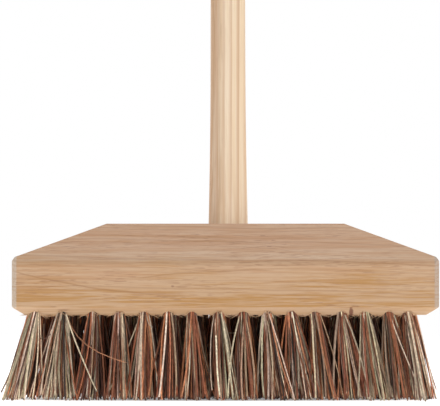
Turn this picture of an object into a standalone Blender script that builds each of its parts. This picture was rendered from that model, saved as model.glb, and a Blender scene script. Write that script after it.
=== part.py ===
"""Deck brush: a gabled hardwood block, four rows of stiff fibre tufts and a long round handle.

The brush stands on its bristle tips on the floor, at z = 0, and its handle leans back
along +Y. The front face looks along -Y and the block is as wide as the brush along X.
"""

import math

import bmesh
import bpy
from mathutils import Matrix, Vector

# Fits shared by all the pieces
CLEARANCE = 0.0003
OVERRUN = 0.002
WELD = 0.00001

# Block: a hardwood bar, planed to a gable with a narrow flat ridge
BLOCK_WIDTH = 0.300
BLOCK_DEPTH = 0.066
BLOCK_HEIGHT = 0.064
FACE_HEIGHT = 0.037
END_HEIGHT = 0.040
RIDGE_LENGTH = 0.168
RIDGE_DEPTH = 0.006
LONG_CHAMFER = 0.0055
END_CHAMFER_RUN = 0.009
END_CHAMFER_RISE = 0.0055
CORNER_RADIUS = 0.003
CORNER_STEPS = 3
EDGE_WIDTH = 0.001
EDGE_STEPS = 2
EDGE_ANGLE = math.radians(35)

# Handle: a round stick that swells towards its foot, in a blind socket in the rear slope
HANDLE_LENGTH = 1.220
HANDLE_RADIUS = 0.0127
FOOT_RADIUS = 0.0143
TAPER_LENGTH = 0.170
TAPER_SHARES = (1.0, 0.75, 0.5, 0.25, 0.0)
FOOT_CHAMFER = 0.001
DOME_HEIGHT = 0.009
DOME_STEPS = 4
HANDLE_SHIFT = 0.002
HANDLE_SIDES = 32

# Handle screw: countersunk, driven level into the foot of the handle from behind
SCREW_LENGTH = 0.030
SCREW_RADIUS = 0.0020
SCREW_HEAD_RADIUS = 0.0040
SCREW_HEAD_DEPTH = 0.0024
SCREW_RIM = 0.0004
SCREW_POINT = 0.003
SCREW_HEIGHT = 0.030
SCREW_SIDES = 16
FOOT_BELOW_SCREW = 0.003
RECESS_LENGTH = 0.0044
RECESS_WIDTH = 0.0010
RECESS_DEPTH = 0.0014

# Tufts: rows of fibre bundles in drilled blind holes, trimmed level under the block
TRIM_LENGTH = 0.060
COLUMN_SHARES = (
    0.0, 0.073, 0.155, 0.227, 0.292, 0.358, 0.421, 0.494,
    0.559, 0.625, 0.689, 0.752, 0.824, 0.887, 0.950, 1.0,
)
ROW_SHIFT_SHARES = (0.0, 0.2, -0.15, 0.45)
FACE_MARGIN = 0.00675
LEFT_MARGIN = 0.0162
RIGHT_MARGIN = 0.0221
HOLE_RADIUS = 0.004
HOLE_DEPTH = 0.012
HOLE_SIDES = 10
END_LEAN = math.radians(10)
ROW_LEAN = math.radians(9)
TIP_FILL_SHARE = 0.8
STRANDS_ROUND = 6
STRAND_SIDES = 3
STRAND_ROOT_RADIUS = 0.0009
STRAND_TIP_RADIUS = 0.0012
STRAND_ROOT_DEPTH = 0.002
STRAND_TRIM = 0.0005
TUFT_TURN = math.radians(37)
BACKING_WIDTH = 0.004
BACKING_DEPTH = 0.002

# Places that follow from the sizes above
UNDERSIDE = TRIM_LENGTH
RIDGE_Z = UNDERSIDE + BLOCK_HEIGHT
END_X = BLOCK_WIDTH / 2
REAR_Y = BLOCK_DEPTH / 2
SLOPE_RUN = (BLOCK_DEPTH - RIDGE_DEPTH) / 2
SLOPE_RISE = BLOCK_HEIGHT - FACE_HEIGHT
HANDLE_LEAN = math.atan2(SLOPE_RISE, SLOPE_RUN)
HANDLE_AXIS = Vector((0, math.sin(HANDLE_LEAN), math.cos(HANDLE_LEAN)))
SOCKET_MOUTH = Vector((HANDLE_SHIFT, REAR_Y - SLOPE_RUN / 2, RIDGE_Z - SLOPE_RISE / 2))
SCREW_SEAT = Vector((HANDLE_SHIFT, REAR_Y, UNDERSIDE + SCREW_HEIGHT))
FOOT_DEPTH = (SOCKET_MOUTH.z - SCREW_SEAT.z) / math.cos(HANDLE_LEAN) + FOOT_BELOW_SCREW
COLUMNS = len(COLUMN_SHARES)
ROWS = len(ROW_SHIFT_SHARES)
DRILLED_WIDTH = BLOCK_WIDTH - LEFT_MARGIN - RIGHT_MARGIN
PLUG_RADIUS = HOLE_RADIUS - CLEARANCE
PLUG_DEPTH = HOLE_DEPTH - CLEARANCE
ROOT_RING_RADIUS = PLUG_RADIUS * math.cos(math.pi / HOLE_SIDES) - STRAND_ROOT_RADIUS

# Colours
WOOD = (0.52, 0.33, 0.19)
PALE_WOOD = (0.66, 0.50, 0.33)
STEEL = (0.55, 0.53, 0.50)
FIBRES = ((0.52, 0.45, 0.29), (0.36, 0.13, 0.05), (0.13, 0.06, 0.05), (0.45, 0.27, 0.13))


def clear_scene():
    """Remove every object that the file starts with."""
    for thing in list(bpy.data.objects):
        bpy.data.objects.remove(thing, do_unlink=True)


def add_collection(name):
    """Make a collection under the scene's own."""
    collection = bpy.data.collections.new(name)
    bpy.context.scene.collection.children.link(collection)
    return collection


def make_material(name, colour, roughness, metallic=0.0):
    """Make a plain material of one colour."""
    material = bpy.data.materials.new(name)
    material.use_nodes = True
    shader = material.node_tree.nodes["Principled BSDF"]
    shader.inputs["Base Color"].default_value = (*colour, 1.0)
    shader.inputs["Roughness"].default_value = roughness
    shader.inputs["Metallic"].default_value = metallic
    material.diffuse_color = (*colour, 1.0)
    return material


def add_piece(brush, mesh, material):
    """Put a mesh in the brush's collection as a sub-part, carried by the brush's frame."""
    piece = bpy.data.objects.new(mesh.name, mesh)
    brush["parts"].objects.link(piece)
    piece.parent = brush["frame"]
    mesh.materials.append(material)
    return piece


def add_cutter(brush, mesh):
    """Put a cutting or joining shape in the cutters' collection, out of the render."""
    cutter = bpy.data.objects.new(mesh.name, mesh)
    brush["cutters"].objects.link(cutter)
    cutter.parent = brush["frame"]
    cutter.hide_render = True
    cutter.display_type = "WIRE"
    return cutter


def combine(piece, cutter, operation):
    """Cut a shape out of a piece, or join it on."""
    boolean = piece.modifiers.new(cutter.name, "BOOLEAN")
    boolean.operation = operation
    boolean.solver = "EXACT"
    boolean.object = cutter


def finish_mesh(name, bm):
    """Turn a bmesh into a mesh with its faces pointing out."""
    bmesh.ops.recalc_face_normals(bm, faces=bm.faces)
    mesh = bpy.data.meshes.new(name)
    bm.to_mesh(mesh)
    bm.free()
    return mesh


def add_box(bm, centre, size):
    """Add a box with the given centre and size."""
    matrix = Matrix.Translation(centre) @ Matrix.Diagonal((*size, 1.0))
    bmesh.ops.create_cube(bm, size=1.0, matrix=matrix)


def add_rod(bm, start, end, start_radius, end_radius, sides, spin=0.0):
    """Add a closed rod, round or faceted, between two points."""
    along = end - start
    turned = along.to_track_quat("Z", "Y").to_matrix().to_4x4() @ Matrix.Rotation(spin, 4, "Z")
    bmesh.ops.create_cone(
        bm,
        cap_ends=True,
        segments=sides,
        radius1=start_radius,
        radius2=end_radius,
        depth=along.length,
        matrix=Matrix.Translation((start + end) / 2) @ turned,
    )


def saw_off(bm, point, outward):
    """Saw off all that lies beyond a plane and close the cut."""
    cut = bmesh.ops.bisect_plane(
        bm,
        geom=bm.verts[:] + bm.edges[:] + bm.faces[:],
        plane_co=point,
        plane_no=outward,
        clear_outer=True,
    )
    rim = [edge for edge in cut["geom_cut"] if isinstance(edge, bmesh.types.BMEdge)]
    bmesh.ops.edgenet_fill(bm, edges=rim)


def edge_direction(edge):
    """Give the direction of an edge."""
    return (edge.verts[1].co - edge.verts[0].co).normalized()


def round_edges(bm, edges, radius, steps):
    """Round some edges and weld the points that this leaves on top of each other."""
    bmesh.ops.bevel(
        bm,
        geom=edges,
        offset=radius,
        offset_type="OFFSET",
        segments=steps,
        profile=0.5,
        affect="EDGES",
        loop_slide=True,
    )
    bmesh.ops.remove_doubles(bm, verts=bm.verts, dist=WELD)


def outline_mesh(name, outline):
    """Draw a profile of (radius, height) points, listed top to bottom, for turning about Z."""
    bm = bmesh.new()
    corners = [bm.verts.new((radius, 0, height)) for radius, height in outline]
    for upper, lower in zip(corners, corners[1:]):
        bm.edges.new((upper, lower))
    mesh = bpy.data.meshes.new(name)
    bm.to_mesh(mesh)
    bm.free()
    return mesh


def turn(piece, sides):
    """Turn a piece's profile about its Z axis into a closed round solid."""
    screw = piece.modifiers.new("turned", "SCREW")
    screw.axis = "Z"
    screw.steps = sides
    screw.render_steps = sides
    screw.use_merge_vertices = True
    screw.merge_threshold = WELD
    screw.use_smooth_shade = True


def column_place(column):
    """Give a column's place across the block."""
    return LEFT_MARGIN - END_X + DRILLED_WIDTH * COLUMN_SHARES[column]


def row_shift(row):
    """Give how far a row is drilled to the side of the first one, so that the rows zigzag."""
    return DRILLED_WIDTH / (COLUMNS - 1) * ROW_SHIFT_SHARES[row]


def row_place(row):
    """Give a row's place from front to back."""
    return (REAR_Y - FACE_MARGIN) * (2 * row / (ROWS - 1) - 1)


def column_drift(column):
    """Give how far a column's tips lie to the side of its roots, which is most at the ends."""
    return TRIM_LENGTH * math.tan(END_LEAN) * (2 * COLUMN_SHARES[column] - 1) ** 3


def row_drift(row):
    """Give how far a row's tips lie before or behind its roots."""
    return TRIM_LENGTH * math.tan(ROW_LEAN * (2 * row / (ROWS - 1) - 1))


def tuft_line(column, row):
    """Give a tuft's root on the underside and the middle of its tips on the floor."""
    root = Vector((column_place(column) + row_shift(row), row_place(row), UNDERSIDE))
    tip = Vector((root.x + column_drift(column), root.y + row_drift(row), 0))
    return root, tip


def column_rows(column):
    """Give the rows that a column has a tuft in: the rear one stands between columns and ends early."""
    return range(ROWS - 1) if column == COLUMNS - 1 else range(ROWS)


def tip_spread(middles, index):
    """Give how far a tuft fans out on the floor, which its nearest neighbour limits."""
    gaps = [b - a for a, b in zip(middles, middles[1:])]
    return min(gaps[max(index - 1, 0) : index + 1]) / 2 * TIP_FILL_SHARE


def plugs_mesh(name, column, gap, rise):
    """Make a column's root plugs, or what drills their holes, down to a level face."""
    bm = bmesh.new()
    for row in column_rows(column):
        root, tip = tuft_line(column, row)
        up = (root - tip).normalized()
        radius = PLUG_RADIUS + gap
        add_rod(bm, root - up * 2 * OVERRUN, root + up * (PLUG_DEPTH + gap), radius, radius, HOLE_SIDES)
    saw_off(bm, Vector((0, 0, UNDERSIDE - rise)), Vector((0, 0, -1)))
    return finish_mesh(name, bm)


def bar_mesh(name, column, gap, rise):
    """Make the slice of backing that zigzags through a column's plugs, or what cuts its groove."""
    roots = [tuft_line(column, row)[0] for row in column_rows(column)]
    steepest = max((there - here).length / (there.y - here.y) for here, there in zip(roots, roots[1:]))
    half = Vector((BACKING_WIDTH / 2 + gap * steepest, 0, 0))
    drop = Vector((0, 0, -rise))
    rise_through = Vector((0, 0, BACKING_DEPTH + gap + rise))
    outline = [root - half + drop for root in roots] + [root + half + drop for root in reversed(roots)]
    bm = bmesh.new()
    bm.faces.new([bm.verts.new(point) for point in outline])
    grown = bmesh.ops.extrude_face_region(bm, geom=bm.faces[:])["geom"]
    corners = [corner for corner in grown if isinstance(corner, bmesh.types.BMVert)]
    bmesh.ops.translate(bm, verts=corners, vec=rise_through)
    return finish_mesh(name, bm)


def strands_mesh(name, column):
    """Make a column's strands, fanned out from each root and trimmed level at the floor."""
    columns = [column_place(other) + column_drift(other) for other in range(COLUMNS)]
    rows = [row_place(other) + row_drift(other) for other in range(ROWS)]
    bm = bmesh.new()
    for row in column_rows(column):
        root, tip = tuft_line(column, row)
        across = Vector((tip_spread(columns, column), 0, 0))
        back = Vector((0, tip_spread(rows, row), 0))
        for strand in range(STRANDS_ROUND + 1):
            angle = TUFT_TURN * (column * ROWS + row) + math.tau * strand / STRANDS_ROUND
            out = Vector((math.cos(angle), math.sin(angle), 0))
            if strand == STRANDS_ROUND:
                out = Vector()
            start = root + out * ROOT_RING_RADIUS
            end = tip + across * out.x + back * out.y
            along = (end - start).normalized()
            add_rod(
                bm,
                start - along * STRAND_ROOT_DEPTH,
                end + along * STRAND_TRIM,
                STRAND_ROOT_RADIUS,
                STRAND_TIP_RADIUS,
                STRAND_SIDES,
                angle,
            )
    saw_off(bm, Vector(), Vector((0, 0, -1)))
    return finish_mesh(name, bm)


def build_block(brush):
    """Plane the block from a square bar, then round its corners and edges."""
    bm = bmesh.new()
    add_box(bm, Vector((0, 0, UNDERSIDE + BLOCK_HEIGHT / 2)), (BLOCK_WIDTH, BLOCK_DEPTH, BLOCK_HEIGHT))
    shoulder_run = END_X - RIDGE_LENGTH / 2
    shoulder_drop = BLOCK_HEIGHT - END_HEIGHT
    for side in (-1, 1):
        face = side * REAR_Y
        end = side * END_X
        saw_off(bm, Vector((0, face, UNDERSIDE + FACE_HEIGHT)), Vector((0, side * SLOPE_RISE, SLOPE_RUN)))
        saw_off(bm, Vector((end, 0, UNDERSIDE + END_HEIGHT)), Vector((side * shoulder_drop, 0, shoulder_run)))
        saw_off(bm, Vector((0, face, UNDERSIDE + LONG_CHAMFER)), Vector((0, side, -1)))
        rise = UNDERSIDE + END_CHAMFER_RISE
        saw_off(bm, Vector((end, 0, rise)), Vector((side * END_CHAMFER_RISE, 0, -END_CHAMFER_RUN)))
    bmesh.ops.remove_doubles(bm, verts=bm.verts, dist=WELD)
    upright = [edge for edge in bm.edges if abs(edge_direction(edge).z) > math.cos(EDGE_ANGLE)]
    round_edges(bm, upright, CORNER_RADIUS, CORNER_STEPS)
    sharp = [edge for edge in bm.edges if edge.calc_face_angle(0) > EDGE_ANGLE]
    round_edges(bm, sharp, EDGE_WIDTH, EDGE_STEPS)
    material = make_material("block_wood", WOOD, 0.55)
    return add_piece(brush, finish_mesh("block", bm), material)


def build_handle(brush):
    """Turn the handle, from its domed top down to its chamfered foot."""
    top = HANDLE_LENGTH - FOOT_DEPTH
    outline = []
    for step in range(DOME_STEPS + 1):
        angle = math.pi / 2 * step / DOME_STEPS
        outline.append((HANDLE_RADIUS * math.sin(angle), top - DOME_HEIGHT * (1 - math.cos(angle))))
    for share in TAPER_SHARES:
        swell = (FOOT_RADIUS - HANDLE_RADIUS) * (1 - share) ** 2
        outline.append((HANDLE_RADIUS + swell, TAPER_LENGTH * share))
    outline.append((FOOT_RADIUS, FOOT_CHAMFER - FOOT_DEPTH))
    outline.append((FOOT_RADIUS - FOOT_CHAMFER, -FOOT_DEPTH))
    outline.append((0, -FOOT_DEPTH))
    material = make_material("handle_wood", PALE_WOOD, 0.5)
    handle = add_piece(brush, outline_mesh("handle", outline), material)
    turn(handle, HANDLE_SIDES)
    handle.location = SOCKET_MOUTH
    handle.rotation_euler = (-HANDLE_LEAN, 0, 0)
    return handle


def build_socket(brush):
    """Make what bores the handle's blind socket, square to the rear slope."""
    bm = bmesh.new()
    mouth = SOCKET_MOUTH + HANDLE_AXIS * OVERRUN
    floor = SOCKET_MOUTH - HANDLE_AXIS * (FOOT_DEPTH + CLEARANCE)
    radius = FOOT_RADIUS + CLEARANCE
    add_rod(bm, mouth, floor, radius, radius, HANDLE_SIDES)
    return add_cutter(brush, finish_mesh("socket", bm))


def screw_outline(gap, rise):
    """Give the screw's profile, head up, or the profile of the hole that it leaves."""
    return [
        (0, rise),
        (SCREW_HEAD_RADIUS + gap, rise),
        (SCREW_HEAD_RADIUS + gap, -SCREW_RIM),
        (SCREW_RADIUS + gap, -SCREW_HEAD_DEPTH),
        (SCREW_RADIUS + gap, SCREW_POINT - SCREW_LENGTH),
        (0, -SCREW_LENGTH - gap),
    ]


def seat_screw(piece):
    """Lay a turned screw, or its hole, level in its place in the rear face."""
    turn(piece, SCREW_SIDES)
    piece.location = SCREW_SEAT
    piece.rotation_euler = (-math.pi / 2, 0, 0)


def build_screw(brush):
    """Turn the screw and cut the cross recess in its head."""
    material = make_material("screw_steel", STEEL, 0.35, 1.0)
    screw = add_piece(brush, outline_mesh("handle_screw", screw_outline(0, 0)), material)
    seat_screw(screw)
    for name, size in (("recess_level", (1, 0)), ("recess_upright", (0, 1))):
        width = RECESS_LENGTH * size[0] + RECESS_WIDTH * size[1]
        height = RECESS_LENGTH * size[1] + RECESS_WIDTH * size[0]
        bm = bmesh.new()
        add_box(bm, SCREW_SEAT, (width, 2 * RECESS_DEPTH, height))
        combine(screw, add_cutter(brush, finish_mesh(name, bm)), "DIFFERENCE")
    return screw


def build_screw_hole(brush):
    """Make what bores the screw's countersunk hole in the block and the handle."""
    hole = add_cutter(brush, outline_mesh("screw_hole", screw_outline(CLEARANCE, OVERRUN)))
    seat_screw(hole)
    return hole


def build_tuft_column(brush, column):
    """Make one column of tufts: strands fused to their plugs and to a slice of backing."""
    number = f"{column + 1:02d}"
    material = make_material(f"fibre_{number}", FIBRES[column % len(FIBRES)], 0.7)
    tufts = add_piece(brush, bar_mesh(f"tuft_column_{number}", column, 0, 0), material)
    plugs = add_cutter(brush, plugs_mesh(f"plugs_{number}", column, 0, 0))
    strands = add_cutter(brush, strands_mesh(f"strands_{number}", column))
    combine(tufts, plugs, "UNION")
    combine(tufts, strands, "UNION")
    return tufts


def cut_tuft_seats(brush, block, column):
    """Drill one column's holes in the block and cut the groove that joins them."""
    number = f"{column + 1:02d}"
    holes = add_cutter(brush, plugs_mesh(f"holes_{number}", column, CLEARANCE, OVERRUN))
    groove = add_cutter(brush, bar_mesh(f"groove_{number}", column, CLEARANCE, OVERRUN))
    combine(block, holes, "DIFFERENCE")
    combine(block, groove, "DIFFERENCE")


def shade(piece):
    """Shade a piece smooth between its sharp edges."""
    piece.data.shade_smooth()
    piece.data.set_sharp_from_angle(angle=EDGE_ANGLE)


def centre_on_footprint(brush):
    """Move the whole brush so that the middle of its footprint is at the origin."""
    bpy.context.view_layer.update()
    depsgraph = bpy.context.evaluated_depsgraph_get()
    points = []
    for piece in brush["parts"].objects:
        solid = piece.evaluated_get(depsgraph)
        points += [solid.matrix_world @ vertex.co for vertex in solid.data.vertices]
    across = [point.x for point in points]
    back = [point.y for point in points]
    brush["frame"].location = (-(min(across) + max(across)) / 2, -(min(back) + max(back)) / 2, 0)


def main():
    """Build the brush."""
    clear_scene()
    brush = {"parts": add_collection("deck_brush"), "cutters": add_collection("cutters")}
    brush["frame"] = bpy.data.objects.new("deck_brush_frame", None)
    bpy.context.scene.collection.objects.link(brush["frame"])

    block = build_block(brush)
    handle = build_handle(brush)
    build_screw(brush)
    screw_hole = build_screw_hole(brush)
    combine(block, build_socket(brush), "DIFFERENCE")
    combine(block, screw_hole, "DIFFERENCE")
    combine(handle, screw_hole, "DIFFERENCE")
    for column in range(COLUMNS):
        build_tuft_column(brush, column)
        cut_tuft_seats(brush, block, column)
    shade(block)
    centre_on_footprint(brush)


main()
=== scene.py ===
"""Looks of the deck brush: a gabled wooden block, a long stick and stiff mixed plant fibres.

Everything is in metres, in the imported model's own frame. The brush stands on its bristle
tips at z = 0, its front face looks along -Y and its handle leans back along +Y.
"""

import logging
import math
from collections.abc import Callable, Iterator, Sequence
from contextlib import contextmanager
from dataclasses import asdict, dataclass, field
from enum import Enum

import bpy
import numpy as np
from mathutils import Euler, Matrix, Vector


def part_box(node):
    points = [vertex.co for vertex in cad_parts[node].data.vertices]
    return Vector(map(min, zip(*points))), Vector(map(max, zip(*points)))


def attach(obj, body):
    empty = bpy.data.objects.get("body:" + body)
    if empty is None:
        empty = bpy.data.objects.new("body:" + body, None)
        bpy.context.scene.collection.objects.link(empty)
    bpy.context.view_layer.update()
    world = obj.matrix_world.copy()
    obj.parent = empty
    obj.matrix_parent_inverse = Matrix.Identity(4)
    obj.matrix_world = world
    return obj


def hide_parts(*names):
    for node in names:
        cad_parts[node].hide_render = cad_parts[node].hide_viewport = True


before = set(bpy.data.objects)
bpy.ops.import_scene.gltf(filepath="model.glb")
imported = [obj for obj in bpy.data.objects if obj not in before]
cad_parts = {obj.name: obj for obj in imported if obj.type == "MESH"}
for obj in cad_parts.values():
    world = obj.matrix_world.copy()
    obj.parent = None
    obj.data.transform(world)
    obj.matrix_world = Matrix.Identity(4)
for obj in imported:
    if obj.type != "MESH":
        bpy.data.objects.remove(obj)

Colour = tuple[float, float, float]
Point = tuple[float, float, float]
Scale = tuple[float, float, float]
Span = tuple[float, float]
Rings = Sequence[tuple[float, float]]
Piece = bpy.types.Object
Material = bpy.types.Material
Node = bpy.types.Node
Socket = bpy.types.NodeSocket

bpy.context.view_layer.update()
BODY = "root"
LOG = logging.getLogger("deck_brush")

MILLIMETRE = 0.001
WELD = 0.01 * MILLIMETRE
BAKE_MAP = "OFBake"
FIBRE_COLOUR = "fibre_colour"
GOLDEN_SHARE = 3 - math.sqrt(5)
WHITE = (1.0, 1.0, 1.0, 1.0)


def deselect_all() -> None:
    """Leave edit mode if need be and deselect everything."""
    if bpy.context.object is not None and bpy.context.object.mode != "OBJECT":
        bpy.ops.object.mode_set(mode="OBJECT")
    bpy.ops.object.select_all(action="DESELECT")


def pick_up(piece: Piece) -> None:
    """Make a piece the only selected object and the active one.

    Args:
        piece: The piece.
    """
    deselect_all()
    piece.select_set(True)
    bpy.context.view_layer.objects.active = piece


def added(name: str, operator: Callable[..., object], **settings: object) -> Piece:
    """Add a primitive at its size and place, and name it.

    Args:
        name: The name for the object and its mesh.
        operator: The operator that adds it.
        **settings: Its size and place.

    Returns:
        The primitive, with its place in its mesh.
    """
    deselect_all()
    operator(**settings)
    piece = bpy.context.object
    piece.name = name
    piece.data.name = name
    bpy.ops.object.transform_apply()
    return piece


def alter(piece: Piece, kind: str, **settings: object) -> None:
    """Change a piece's mesh with a modifier.

    Args:
        piece: The piece.
        kind: The modifier's type.
        **settings: The modifier's own settings.
    """
    modifier = piece.modifiers.new(kind, kind)
    for name, value in settings.items():
        setattr(modifier, name, value)
    pick_up(piece)
    bpy.ops.object.modifier_apply(modifier=modifier.name)


def joined(pieces: list[Piece]) -> Piece:
    """Join pieces into one.

    Args:
        pieces: The pieces, which the first one takes up.

    Returns:
        The first piece.
    """
    pick_up(pieces[0])
    for piece in pieces:
        piece.select_set(True)
    bpy.ops.object.join()
    return pieces[0]


@contextmanager
def on_the_bench(piece: Piece) -> Iterator[None]:
    """Open a piece in edit mode with all of it selected, and close it with its faces outwards.

    Args:
        piece: The mesh object to work on.

    Yields:
        Nothing; the operators act on the open piece.
    """
    pick_up(piece)
    bpy.ops.object.mode_set(mode="EDIT")
    bpy.ops.mesh.select_all(action="SELECT")
    yield
    bpy.ops.mesh.select_all(action="SELECT")
    bpy.ops.mesh.normals_make_consistent(inside=False)
    bpy.ops.object.mode_set(mode="OBJECT")


def plane_off(point: Vector, outward: Vector) -> None:
    """Plane off what the piece on the bench has outward of a plane through a point."""
    bpy.ops.mesh.select_all(action="SELECT")
    bpy.ops.mesh.bisect(plane_co=point, plane_no=outward.normalized(), use_fill=True, clear_outer=True)


def draw_out(distance: float, widen: float, height: float) -> None:
    """Extrude the end on the bench up by a distance to a height, and widen it by a factor."""
    bpy.ops.mesh.extrude_region_move(TRANSFORM_OT_translate={"value": (0, 0, distance)})
    bpy.ops.transform.resize(value=(widen, widen, 1), center_override=(0, 0, height))


def lay_in_place(piece: Piece, matrix: Matrix) -> None:
    """Move a piece and write its place into its mesh.

    Args:
        piece: The piece, which may be a cutter.
        matrix: Where it goes.
    """
    piece.matrix_world = matrix
    pick_up(piece)
    bpy.ops.object.transform_apply()


def turned_rod(name: str, profile: Rings, sides: int, place: Matrix | None = None) -> Piece:
    """Turn a closed round rod about Z from its profile.

    Args:
        name: The rod's name.
        profile: (radius, height) of each ring, from the bottom up.
        sides: How many sides stand for the round.
        place: Where the rod goes, if not upright over the origin.

    Returns:
        The rod.
    """
    radius, height = profile[0]
    size = {"vertices": sides, "radius": radius, "fill_type": "NGON", "location": (0, 0, height)}
    rod = added(name, bpy.ops.mesh.primitive_circle_add, **size)
    with on_the_bench(rod):
        for (was, low), (now, high) in zip(profile, profile[1:]):
            draw_out(high - low, now / was, high)
    if place is not None:
        lay_in_place(rod, place)
    return rod


def cut_away(piece: Piece, *cutters: Piece) -> None:
    """Cut shapes out of a piece and throw the cutters away.

    Args:
        piece: The piece that is cut.
        *cutters: The closed shapes that are taken out of it, one after the other.
    """
    for cutter in cutters:
        alter(piece, "BOOLEAN", operation="DIFFERENCE", solver="EXACT", object=cutter)
        bpy.data.objects.remove(cutter)


def copies_at(pattern: Piece, places: list[Matrix]) -> Piece:
    """Copy a cutter to each place and join the copies.

    Args:
        pattern: The cutter to copy, which is used up.
        places: Where the copies go.

    Returns:
        The joined cutter.
    """
    copies = []
    for place in places:
        copy = pattern.copy()
        copy.data = pattern.data.copy()
        bpy.context.collection.objects.link(copy)
        copy.matrix_world = place
        copies.append(copy)
    bpy.data.objects.remove(pattern)
    whole = joined(copies)
    bpy.ops.object.transform_apply()
    return whole


def smooth(piece: Piece, angle: float) -> None:
    """Shade a piece smooth, but for the edges that are sharper than an angle."""
    pick_up(piece)
    bpy.ops.object.shade_smooth_by_angle(angle=angle)


def fit(piece: Piece, material: Material, slot: str, *nodes: str) -> None:
    """Dress a finished piece and let it stand for its CAD nodes.

    Args:
        piece: The finished piece.
        material: Its material.
        slot: The record's material slot; not used.
        *nodes: The CAD nodes that it stands for.
    """
    piece.data.materials.clear()
    piece.data.materials.append(material)
    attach(piece, BODY)
    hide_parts(*nodes)
    LOG.info("%s: %d faces, for %s", piece.name, len(piece.data.polygons), ", ".join(nodes))


class Graph:
    """Places shader nodes in one node tree and joins them."""

    def __init__(self, tree: bpy.types.NodeTree) -> None:
        """Work on one tree."""
        self.tree = tree

    def place(self, kind: str, inputs: dict[str | int, object], **settings: object) -> Node:
        """Place a node.

        Args:
            kind: The node's type, without the ShaderNode that starts it.
            inputs: What each input gets: a socket to join, or a plain value.
            **settings: The node's own settings.

        Returns:
            The node.
        """
        node = self.tree.nodes.new(f"ShaderNode{kind}")
        for name, value in settings.items():
            setattr(node, name, value)
        self.fill(node, inputs)
        return node

    def fill(self, node: Node, inputs: dict[str | int, object]) -> None:
        """Give a node's inputs what they need.

        Args:
            node: The node.
            inputs: What each input gets: a socket to join, or a plain value.
        """
        for name, value in inputs.items():
            if isinstance(value, Socket):
                self.tree.links.new(value, node.inputs[name])
            else:
                node.inputs[name].default_value = value

    def sum(self, operation: str, first: object, second: object = 0.0, clamp: bool = False) -> Socket:
        """Work out one sum with a Math node, kept between 0 and 1 if need be."""
        node = self.place("Math", {0: first, 1: second}, operation=operation, use_clamp=clamp)
        return node.outputs[0]

    def plus(self, first: object, second: object) -> Socket:
        """Add two values or sockets."""
        return self.sum("ADD", first, second)

    def minus(self, first: object, second: object) -> Socket:
        """Take the second value or socket from the first."""
        return self.sum("SUBTRACT", first, second)

    def times(self, first: object, second: object) -> Socket:
        """Multiply two values or sockets."""
        return self.sum("MULTIPLY", first, second)

    def stretch(self, vector: Socket, scale: Scale) -> Socket:
        """Scale a pattern's coordinates, each axis by its own factor."""
        return self.place("Mapping", {"Vector": vector, "Scale": scale}).outputs[0]

    def noise(
        self, vector: Socket, scale: float | Scale, detail: float = 2.0, rough: float = 0.5
    ) -> Node:
        """Place a noise texture.

        Args:
            vector: Where it reads its coordinates.
            scale: Its scale, or one for each axis.
            detail: How many octaves it has.
            rough: How strong the finer octaves are.

        Returns:
            The texture's node.
        """
        if isinstance(scale, tuple):
            vector, scale = self.stretch(vector, scale), 1.0
        inputs = {"Vector": vector, "Scale": scale, "Detail": detail, "Roughness": rough}
        return self.place("TexNoise", inputs)

    def ramp(
        self, value: object, low: object, high: object, to_low: object = 0.0, to_high: object = 1.0
    ) -> Socket:
        """Turn the values from low to high into those from to_low to to_high, softly at both ends."""
        inputs = {"Value": value, "From Min": low, "From Max": high, "To Min": to_low, "To Max": to_high}
        return self.place("MapRange", inputs, interpolation_type="SMOOTHSTEP").outputs[0]

    def bump(self, height: Socket, distance: float, strength: float) -> Socket:
        """Turn a height into the normal of a surface that is as rough."""
        inputs = {"Height": height, "Distance": distance, "Strength": strength}
        return self.place("Bump", inputs).outputs[0]

    def mix(self, share: object, first: object, second: object, blend: str = "MIX") -> Socket:
        """Mix two colours.

        Args:
            share: How much of the second colour shows.
            first: The first colour or its socket.
            second: The second colour or its socket.
            blend: The Mix node's blend type.

        Returns:
            The mixed colour's socket.
        """
        inputs = {0: share}
        for slot, value in ((6, first), (7, second)):
            inputs[slot] = value if isinstance(value, Socket) else (*value, 1.0)
        return self.place("Mix", inputs, data_type="RGBA", blend_type=blend).outputs[2]


class Pattern:
    """A shader node group with named inputs and outputs, built once and used by several finishes."""

    def __init__(self, name: str, inputs: tuple[str, ...], outputs: tuple[str, ...]) -> None:
        """Start an empty group, whose first input is the coordinates' Vector.

        Args:
            name: The group's name.
            inputs: The names of its other inputs, which are numbers.
            outputs: The names of its outputs, which are numbers.
        """
        self.tree = bpy.data.node_groups.new(name, "ShaderNodeTree")
        new_socket = self.tree.interface.new_socket
        new_socket(name="Vector", in_out="INPUT", socket_type="NodeSocketVector")
        for way, titles in (("INPUT", inputs), ("OUTPUT", outputs)):
            for title in titles:
                new_socket(name=title, in_out=way, socket_type="NodeSocketFloat")
        self.graph = Graph(self.tree)
        self.given = self.tree.nodes.new("NodeGroupInput").outputs
        self.result = self.tree.nodes.new("NodeGroupOutput").inputs

    def give(self, **outputs: Socket) -> None:
        """Join the group's outputs to what they put out."""
        for title, socket in outputs.items():
            self.tree.links.new(socket, self.result[title])

    def use(self, graph: Graph, inputs: dict[str, object]) -> Node:
        """Place the group in a material's tree."""
        return graph.place("Group", inputs, node_tree=self.tree)


class Coat:
    """A material with one Principled shader, whose nodes read the piece's own coordinates."""

    def __init__(self, name: str) -> None:
        """Start a material.

        Args:
            name: The material's name.
        """
        self.material = bpy.data.materials.new(name)
        self.material.use_nodes = True
        self.graph = Graph(self.material.node_tree)
        self.own = self.graph.place("TexCoord", {}).outputs["Object"]

    def finish(self, inputs: dict[str, object]) -> Material:
        """Feed the shader and hand over the material."""
        self.graph.fill(self.material.node_tree.nodes["Principled BSDF"], inputs)
        return self.material


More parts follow.
